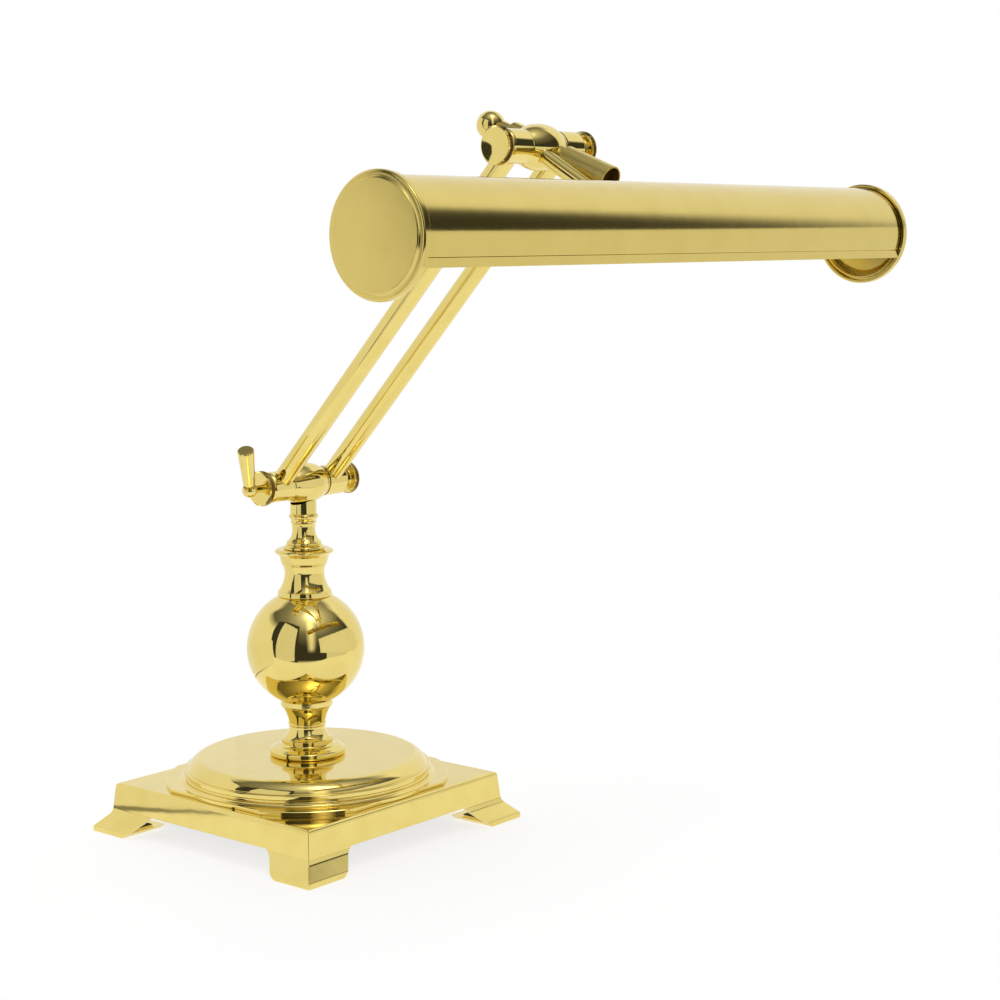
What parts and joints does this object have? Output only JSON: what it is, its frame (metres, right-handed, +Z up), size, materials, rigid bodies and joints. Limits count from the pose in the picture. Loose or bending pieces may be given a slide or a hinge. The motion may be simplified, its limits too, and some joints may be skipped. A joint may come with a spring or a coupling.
{
  "type": "piano lamp",
  "caption": "Footed square base, turned column with a ball, double swing arm with clamp knuckles and a long half-open tube shade that tilts.",
  "frame": {"origin": "on the desk surface, on the column's axis, under the middle of the square base", "axes": "+Z up along the column; X along the shade and the knuckles' pivots, +X to the right of a player who faces +Y; the arm leans towards -Y, where the shade is"},
  "size_m": [0.4542, 0.4034, 0.4543],
  "materials": {
    "polished_brass": "polished and lacquered",
    "satin_brass": "satin polished and lacquered",
    "cast_iron": "rough cast, dark primer",
    "felt": "green felt",
    "fibre": "dark vulcanised fibre",
    "steel": "plain bright steel",
    "dark_plastic": "dark brown thermoset",
    "porcelain": "glazed white ceramic",
    "lamp_cap": "rolled aluminium",
    "glass": "frosted glass",
    "rubber": "black moulded"
  },
  "bodies": {
    "base": {"plinth": "polished_brass", "dome_plate": "polished_brass", "ballast": "cast_iron", "felt_pads": "felt", "tie_rod": "steel", "base_washer": "steel", "base_nut": "steel", "inlet_bush": "rubber", "foot_flange": "polished_brass", "lower_baluster": "polished_brass", "ball": "polished_brass", "neck_baluster": "polished_brass", "drip_pan": "polished_brass", "cap_coupling": "polished_brass", "post": "polished_brass", "lower_barrel": "polished_brass"},
    "clamp_lever": {"lower_clamp_screw": "steel", "lower_clamp_wheel": "polished_brass", "lever_pin": "polished_brass", "lever_boss": "polished_brass", "lever_handle": "polished_brass"},
    "lower_thumbwheel": {"lower_thumb_screw": "steel", "lower_thumb_wheel": "polished_brass"},
    "arm": {"arm_tube_left": "polished_brass", "arm_tube_right": "polished_brass", "lower_hub_left": "polished_brass", "lower_hub_right": "polished_brass", "upper_hub_left": "polished_brass", "upper_hub_right": "polished_brass", "lower_friction_discs": "fibre", "upper_friction_discs": "fibre", "lower_washers": "polished_brass", "upper_washers": "polished_brass"},
    "upper_clamp": {"upper_clamp_screw": "steel", "upper_clamp_wheel": "polished_brass"},
    "upper_thumbwheel": {"upper_thumb_screw": "steel", "upper_thumb_wheel": "polished_brass"},
    "shade": {"upper_barrel": "polished_brass", "cross_tube": "polished_brass", "cross_ferrule": "polished_brass", "switch_sleeve": "polished_brass", "switch_body": "dark_plastic", "switch_terminals": "polished_brass", "shade_stem": "polished_brass", "stem_collar": "polished_brass", "stem_nut": "steel", "shade_trough": "satin_brass", "end_cap_left": "polished_brass", "end_cap_right": "polished_brass", "lamp_bracket": "steel", "lampholders": "porcelain", "bulb_caps": "lamp_cap", "bulb_glasses": "glass"},
    "switch_knob": {"knob_shaft": "steel", "turn_knob": "polished_brass"}
  },
  "joints": [
    {"name": "arm_fold", "type": "hinge", "parent": "base", "child": "arm", "pos_m": [0, 0, 0.2254], "axis": [1, 0, 0], "range_deg": [-60, 45]},
    {"name": "shade_tilt", "type": "hinge", "parent": "arm", "child": "shade", "pos_m": [0, -0.19373, 0.4317], "axis": [1, 0, 0], "range_deg": [-75, 65]},
    {"name": "clamp_lever_turn", "type": "hinge", "parent": "base", "child": "clamp_lever", "pos_m": [0, 0, 0.2254], "axis": [1, 0, 0], "range_deg": [-150, 0]},
    {"name": "lower_thumbwheel_turn", "type": "hinge", "parent": "base", "child": "lower_thumbwheel", "pos_m": [0, 0, 0.2254], "axis": [1, 0, 0], "continuous": true},
    {"name": "upper_clamp_turn", "type": "hinge", "parent": "arm", "child": "upper_clamp", "pos_m": [0, -0.19373, 0.4317], "axis": [1, 0, 0], "continuous": true},
    {"name": "upper_thumbwheel_turn", "type": "hinge", "parent": "arm", "child": "upper_thumbwheel", "pos_m": [0, -0.19373, 0.4317], "axis": [1, 0, 0], "continuous": true},
    {"name": "switch_knob_turn", "type": "hinge", "parent": "shade", "child": "switch_knob", "pos_m": [0.0065, -0.19373, 0.4301], "axis": [0, 0.9317, 0.3633], "continuous": true}
  ]
}
